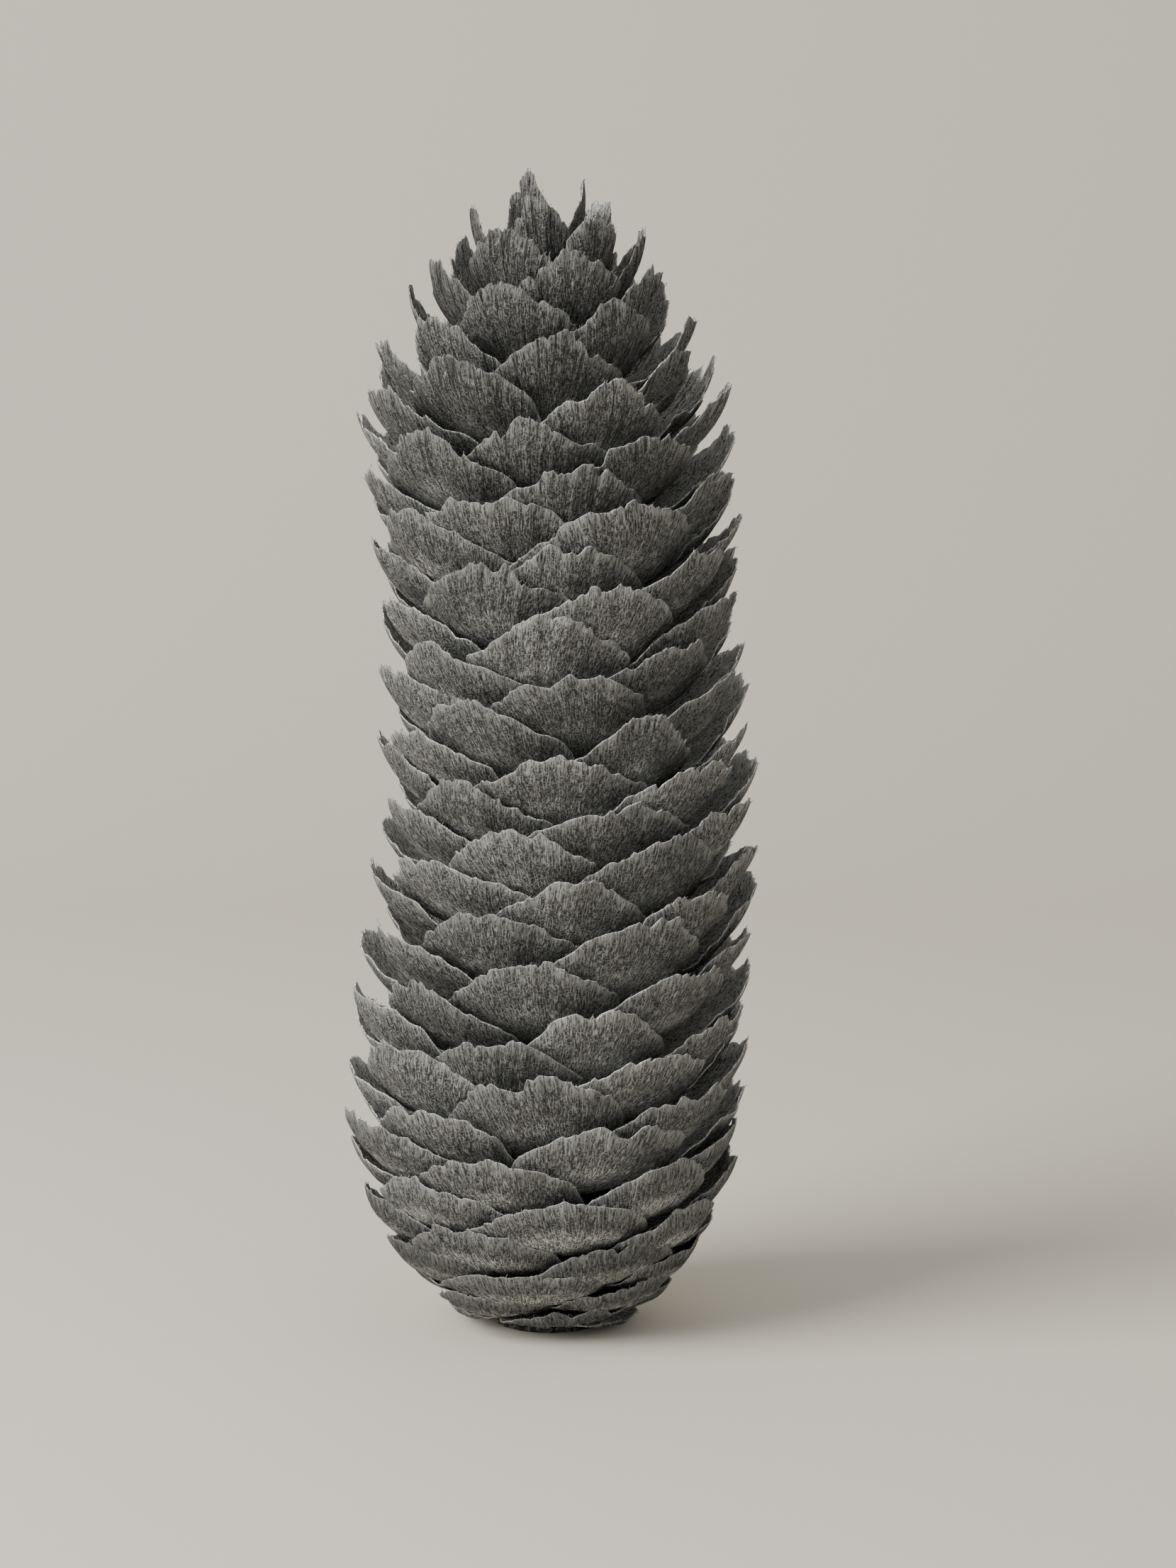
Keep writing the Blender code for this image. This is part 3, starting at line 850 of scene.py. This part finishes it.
# %% Run a tree and keep its result
def added(name, data):
    """A new object in the scene."""
    thing = bpy.data.objects.new(name, data)
    bpy.context.scene.collection.objects.link(thing)
    return thing


def grown(name, tree, inputs, start=None):
    """Runs a tree as a modifier with these inputs and returns its result as a plain mesh object."""
    holder = added(name + "_holder", start or bpy.data.meshes.new(name + "_holder"))
    modifier = holder.modifiers.new(name, "NODES")
    modifier.node_group = tree
    sockets = {item.name: item.identifier for item in tree.interface.items_tree if item.in_out == "INPUT"}
    for label, value in inputs.items():
        modifier[sockets[label]] = value
    depsgraph = bpy.context.evaluated_depsgraph_get()
    mesh = bpy.data.meshes.new_from_object(holder.evaluated_get(depsgraph), depsgraph=depsgraph)
    holder.modifiers.clear()
    bpy.data.objects.remove(holder)
    mesh.name = name
    return added(name, mesh)


def triangles(piece):
    """How many triangles a piece's faces make."""
    return sum(len(face.vertices) - 2 for face in piece.data.polygons)

# %% [markdown]
# The scales could be one piece. They are grown in five, from base to crown, so that each is small enough to
# export whole.

# %% Grow the five zones of scales
ZONES = ("base", "lower", "middle", "upper", "crown")


def stock_collection(meshes):
    """A collection with one object for each scale, in the order of their numbers."""
    stock = bpy.data.collections.new("scale_stock")
    for mesh in meshes:
        stock.objects.link(bpy.data.objects.new(mesh.name, mesh))
    return stock


def grow_zone(name, stock, first, last):
    """The scales from one number up to another, as one piece."""
    inputs = {"Scales": stock, "First": first, "Count": last - first, **GROWTH, "Finish": SCALE_FINISH}
    return grown(f"scales_{name}", SPIRAL_TREE, inputs)


def grow_zones():
    """One piece for each zone of the cone."""
    stock = stock_collection(SCALE_MESHES)
    edges = [round(SCALE_COUNT * k / len(ZONES)) for k in range(len(ZONES) + 1)]
    zones = [grow_zone(name, stock, *ends) for name, *ends in zip(ZONES, edges, edges[1:])]
    for scale in list(stock.objects):
        bpy.data.objects.remove(scale)
    bpy.data.collections.remove(stock)
    return zones


SCALE_PIECES = grow_zones()
for piece in SCALE_PIECES:
    print(piece.name, triangles(piece), "triangles")

# %% [markdown]
# Little of the woody axis shows, but its foot, where the stalk broke off, is what the cone stands on. A
# cylinder would look like a pipe, and sculpting would be lost behind the scales. So one outline is carried
# round with a few ribs and moved over by the bow.

# %% The outline of the axis and its foot
FOOT_OUTLINE = ((0.0, 0.0), (0.0030, 0.0), (0.0048, 0.0), (0.0060, 0.0), (0.0064, 0.0002), (0.0062, 0.0006))
AXIS_GROWTH = 0.0002
AXIS_ROWS = 60
AXIS_START, AXIS_END, APEX_RISE = 0.0014, 0.1335, 0.0006


def axis_outline():
    """The outline of the axis as (radius, height), from the middle of the foot to the apex."""
    heights = np.linspace(AXIS_START, AXIS_END, AXIS_ROWS)
    radii = at_height(AXIS_PROFILE, heights) + AXIS_GROWTH
    return np.array([*FOOT_OUTLINE, *zip(radii, heights), (0.0, AXIS_END + APEX_RISE)])

# %% Turn the axis
AXIS_SIDES = 96
AXIS_RIB, AXIS_RIB_COUNTS = 0.00012, (3, 7, 13, 21)
FULL_RIB_RADIUS = 0.008
AXIS_SEED = SEED + 77


def make_axis():
    """The axis as one turned mesh."""
    outline = axis_outline()
    chance = np.random.default_rng(AXIS_SEED)
    turn = np.linspace(0.0, 2 * math.pi, AXIS_SIDES, endpoint=False)
    waves = [np.sin(count * turn + chance.uniform(0, 2 * math.pi)) for count in AXIS_RIB_COUNTS]
    base, up = outline[:, :1], outline[:, 1:]
    radius = base + AXIS_RIB * sum(waves) * ramp(base, 0.0, FULL_RIB_RADIUS) * (up > 0)
    height = up * np.ones_like(turn)
    points = np.stack((radius * np.cos(turn) + bow_at(height), radius * np.sin(turn), height), axis=-1)
    order = np.arange(len(outline) * AXIS_SIDES).reshape(len(outline), AXIS_SIDES)
    beside = np.roll(order, -1, axis=1)
    quads = np.stack((order[:-1], beside[:-1], beside[1:], order[1:]), axis=-1).reshape(-1, 4)
    mesh = bpy.data.meshes.new("axis")
    mesh.from_pydata(points.reshape(-1, 3), [], quads.tolist())
    return mesh

# %% Close the axis up
JOIN_DISTANCE = 1e-6


def close_up(mesh):
    """Merges a mesh's poles and turns its faces outwards."""
    work = bmesh.new()
    work.from_mesh(mesh)
    bmesh.ops.remove_doubles(work, verts=work.verts, dist=JOIN_DISTANCE)
    bmesh.ops.recalc_face_normals(work, faces=work.faces)
    work.to_mesh(mesh)
    work.free()
    shade_smooth(mesh)


AXIS = added("axis", make_axis())
close_up(AXIS.data)
print("axis", triangles(AXIS), "triangles")

# %% [markdown]
# The axis is the same wood, but darker, because the scales shade it, and coarser. It has no UV map, so the
# same effects are used on its own space, drawn out upwards so that the fibres run up.

# %% The finish of the axis
AXIS_SPECK = 1800.0
AXIS_STRETCH = (100.0, 100.0, 18.0)
AXIS_DENSITY = {"Across": 9.0, "Along": 9.0}
AXIS_SPECKS = 0.3
AXIS_RELIEF = {"Strength": 0.8, "Distance": 0.0003}


def make_axis_finish():
    """Darker, coarser wood, with its fibres running up the axis."""
    finish, tree, shader = new_finish("axis_wood")
    place = own_place(tree)
    weather = use_group(tree, WEATHERING, Place=place, Speck=AXIS_SPECK)
    drawn = put(tree, "ShaderNodeMapping", Vector=place, Scale=AXIS_STRETCH).outputs[0]
    fibres = use_group(tree, FIBRES, Grain=drawn, **AXIS_DENSITY)
    colour = blend_colours(tree, fibres["Streak"], DEEP_GREY, MID_GREY)
    colour = blend_colours(tree, number(tree, "MULTIPLY", weather["Specks"], AXIS_SPECKS), colour, PALE_GREY)
    fill(tree, shader, "Base Color", colour)
    bump = put(tree, "ShaderNodeBump", Height=fibres["Fine"], **AXIS_RELIEF)
    fill(tree, shader, "Normal", bump.outputs[0])
    return finish


AXIS.data.materials.append(make_axis_finish())
print("the axis has the finish", AXIS.data.materials[0].name)

# %% [markdown]
# Where a margin is torn, a few fibres stand out past it as wispy hairs. A hair system could grow them, but
# it isn't exported as faces. So each is one thin tapered curve, and a tree puts several thousand of them on
# the margins, about a millimetre apart.

# %% Where a point of a scale stands on the cone
def stand_scale(points, index):
    """Points of one scale moved to where the spiral stands it."""
    azimuth = FIRST_AZIMUTH - GOLDEN_ANGLE * index
    height = SEATS[index]["height"]
    cosine, sine = math.cos(azimuth), math.sin(azimuth)
    x = points[..., 0] * cosine - points[..., 1] * sine + bow_at(height)
    y = points[..., 0] * sine + points[..., 1] * cosine
    return np.stack((x, y, points[..., 2] + height), axis=-1)

# %% Choose where fibres stand out
FIBRE_SPACING = 0.0011
FIBRE_LENGTHS = (0.00020, 0.00065)
FIBRE_FRONT = 0.80
FIBRE_WAY_PLAY = 0.22
FIBRE_SEED = SEED + 5


def choose_fibres():
    """A mesh of points on the margins, each with the way its fibre points and how long it is."""
    draw = np.random.default_rng(FIBRE_SEED)
    front = np.flatnonzero(np.abs(ray_places()) < FIBRE_FRONT)
    spots, ways, lengths = [], [], []
    for index, (outer, inner, grain, _) in enumerate(SHEETS):
        middle = stand_scale((outer + inner) / 2, index)
        margin = (grain[-1, front[-1], 0] - grain[-1, front[0], 0]) / CENTIMETRES
        for ray in draw.choice(front, int(margin / FIBRE_SPACING), replace=False):
            way = middle[-1, ray] - middle[-3, ray]
            way = way / np.linalg.norm(way) + draw.normal(0.0, FIBRE_WAY_PLAY, 3)
            spots.append(middle[-2, ray])
            ways.append(way / np.linalg.norm(way))
            lengths.append(draw.uniform(*FIBRE_LENGTHS))
    mesh = bpy.data.meshes.new("fibre_spots")
    mesh.from_pydata(np.array(spots), [], [])
    way = mesh.attributes.new("way", "FLOAT_VECTOR", "POINT")
    way.data.foreach_set("vector", np.array(ways, np.float32).ravel())
    add_number(mesh, "length", lengths)
    return mesh


FIBRE_SPOTS = choose_fibres()
print("fibres stand on", len(FIBRE_SPOTS.vertices), "spots")

# %% One fibre
FIBRE_MIDDLE = (0.0, 0.0, 0.55)
ROOT_TAPER = 1.05
FIBRE_SEGMENTS, FIBRE_SIDES = 3, 3


def attribute(tree, kind, name):
    """What the tree reads from a named attribute of its points."""
    return put(tree, "GeometryNodeInputNamedAttribute", {"data_type": kind}, Name=name).outputs[0]


def tapered_fibre(tree, given):
    """One fibre, a unit long, that droops a little and thins towards its end."""
    end = put(tree, "ShaderNodeCombineXYZ", X=given["Droop"], Z=1.0)
    bezier = put(tree, "GeometryNodeCurveQuadraticBezier", Resolution=FIBRE_SEGMENTS, End=end.outputs[0])
    fill(tree, bezier, "Start", (0.0, 0.0, 0.0))
    fill(tree, bezier, "Middle", FIBRE_MIDDLE)
    factor = tree.nodes.new("GeometryNodeSplineParameter").outputs["Factor"]
    taper = number(tree, "SUBTRACT", ROOT_TAPER, factor)
    tapered = put(tree, "GeometryNodeSetCurveRadius", Curve=bezier.outputs[0], Radius=taper)
    ring = put(tree, "GeometryNodeCurvePrimitiveCircle", Resolution=FIBRE_SIDES, Radius=given["Thickness"])
    fibre = put(tree, "GeometryNodeCurveToMesh", Curve=tapered.outputs[0], Fill_Caps=True)
    fill(tree, fibre, "Profile Curve", ring.outputs["Curve"])
    return fibre.outputs[0]

# %% The tree that puts a fibre on each spot
def make_fibre_tree():
    """A fibre on each point of the mesh that the tree is given."""
    tree, given, result = new_tree("margin fibres", "Geometry", [
        ("Spots", "Geometry", None), ("Thickness", "Float", 0.06), ("Droop", "Float", 0.25),
        ("Finish", "Material", None),
    ], GEOMETRY_OUT)
    way = attribute(tree, "FLOAT_VECTOR", "way")
    turn = put(tree, "FunctionNodeAlignRotationToVector", {"axis": "Z"}, Vector=way)
    copies = put(
        tree, "GeometryNodeInstanceOnPoints", Points=given["Spots"], Instance=tapered_fibre(tree, given),
        Rotation=turn.outputs[0], Scale=attribute(tree, "FLOAT", "length"),
    )
    end_tree(tree, result, copies.outputs[0], given["Finish"])
    return tree

# %% [markdown]
# The fibres are frayed wood, pale because they are worn. One even grey would make them look like bristles,
# so the clouds of weathering vary it.

# %% The finish of the fibres, and the fibres
FIBRE_CLOUD = 300.0


def make_fibre_finish():
    """Pale, frayed wood."""
    finish, tree, shader = new_finish("fibre_wood")
    weather = use_group(tree, WEATHERING, Place=own_place(tree), Cloud=FIBRE_CLOUD)
    fill(tree, shader, "Base Color", blend_colours(tree, weather["Clouds"], DARK_GREY, PALE_GREY))
    return finish


MARGIN_FIBRES = grown("margin_fibres", make_fibre_tree(), {"Finish": make_fibre_finish()}, FIBRE_SPOTS)
print("fibres", triangles(MARGIN_FIBRES), "triangles")

# %% [markdown]
# Around the cone there is only a pale matt sheet. A flat floor would end in a horizon behind the cone, so
# the floor sweeps up into a backdrop, as paper does in a photo studio.

# %% The floor
FLOOR_COLOUR = (0.815, 0.776, 0.685, 1.0)
FLOOR_FRONT, FLOOR_BACK, FLOOR_HALF, FLOOR_TOP = -1.6, 0.30, 2.2, 1.8
SWEEP_RADIUS, SWEEP_STEPS = 0.35, 32


def make_floor():
    """A floor that curves up into a backdrop."""
    outline = [(FLOOR_FRONT, 0.0)]
    for step in range(SWEEP_STEPS + 1):
        turn = math.pi / 2 * step / SWEEP_STEPS
        outline.append((FLOOR_BACK + SWEEP_RADIUS * math.sin(turn), SWEEP_RADIUS * (1 - math.cos(turn))))
    outline.append((FLOOR_BACK + SWEEP_RADIUS, FLOOR_TOP))
    points = [(x, y, z) for y, z in outline for x in (-FLOOR_HALF, FLOOR_HALF)]
    quads = [(2 * k, 2 * k + 1, 2 * k + 3, 2 * k + 2) for k in range(len(outline) - 1)]
    mesh = bpy.data.meshes.new("floor")
    mesh.from_pydata(points, [], quads)
    shade_smooth(mesh)
    finish, _, shader = new_finish("floor_matt")
    shader.inputs["Base Color"].default_value = FLOOR_COLOUR
    mesh.materials.append(finish)
    return added("floor", mesh)


FLOOR = make_floor()
print("the floor has", len(FLOOR.data.polygons), "faces")

# %% [markdown]
# One large soft light high on the left models the scales. A weak one in front and the pale room keep the
# shaded side open. A picture of a room could light the cone too, but two lights are easier to judge.

# %% The lights
CONE_MIDDLE = (0.0, 0.0, CONE_HEIGHT / 2)
ROOM_COLOUR, ROOM_STRENGTH = (1.0, 0.99, 0.965, 1.0), 0.46


def facing(place, target):
    """The rotation with which a light or a camera at a place looks at a target."""
    return (Vector(target) - Vector(place)).to_track_quat("-Z", "Y").to_euler()


def add_light(name, place, size, power, colour):
    """A square soft light that faces the middle of the cone."""
    light = bpy.data.lights.new(name, "AREA")
    light.size, light.energy, light.color = size, power, colour
    lamp = added(name, light)
    lamp.location, lamp.rotation_euler = place, facing(place, CONE_MIDDLE)


def light_room():
    """An even, pale light from all sides."""
    world = bpy.data.worlds.new("room")
    world.use_nodes = True
    background = world.node_tree.nodes["Background"]
    background.inputs["Color"].default_value = ROOM_COLOUR
    background.inputs["Strength"].default_value = ROOM_STRENGTH
    bpy.context.scene.world = world


add_light("key", place=(-0.52, -0.33, 0.42), size=0.48, power=7.3, colour=(1.0, 0.993, 0.955))
add_light("fill", place=(-0.10, -0.95, 0.15), size=0.7, power=1.2, colour=(1.0, 0.99, 0.97))
light_room()
print("lights:", [light.name for light in bpy.data.lights])

# %% [markdown]
# The camera stands in front and a little above, close enough that the base is seen more from above than the
# crown. A longer lens from further away would frame the cone too, but would flatten its rows.

# %% The camera
CAMERA_DISTANCE = 0.55
CAMERA_ELEVATION = math.radians(8.0)
SEEN_HEIGHT = 0.1885  # the height that the frame spans at the cone
AIM = (0.0047, 0.0, 0.0662)
SENSOR = 24.0
NEAREST = 0.01

lens = bpy.data.cameras.new("camera")
lens.sensor_fit, lens.sensor_height = "VERTICAL", SENSOR
lens.lens = SENSOR * CAMERA_DISTANCE / SEEN_HEIGHT
lens.clip_start = NEAREST
camera = added("camera", lens)
backwards = Vector((0.0, -math.cos(CAMERA_ELEVATION), math.sin(CAMERA_ELEVATION)))
camera.location = Vector(AIM) + CAMERA_DISTANCE * backwards
camera.rotation_euler = facing(camera.location, AIM)
bpy.context.scene.camera = camera
print("the lens is", round(lens.lens, 1), "mm long")

# %% [markdown]
# Last, every piece is tied to the model. All of them move with its one body and stand for its one node,
# whose own plain mesh is then hidden.

# %% Tie the pieces to the model
PIECES = [*SCALE_PIECES, AXIS, MARGIN_FIBRES]
for piece in PIECES:
    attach(piece, "root")
    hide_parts("spruce_cone")
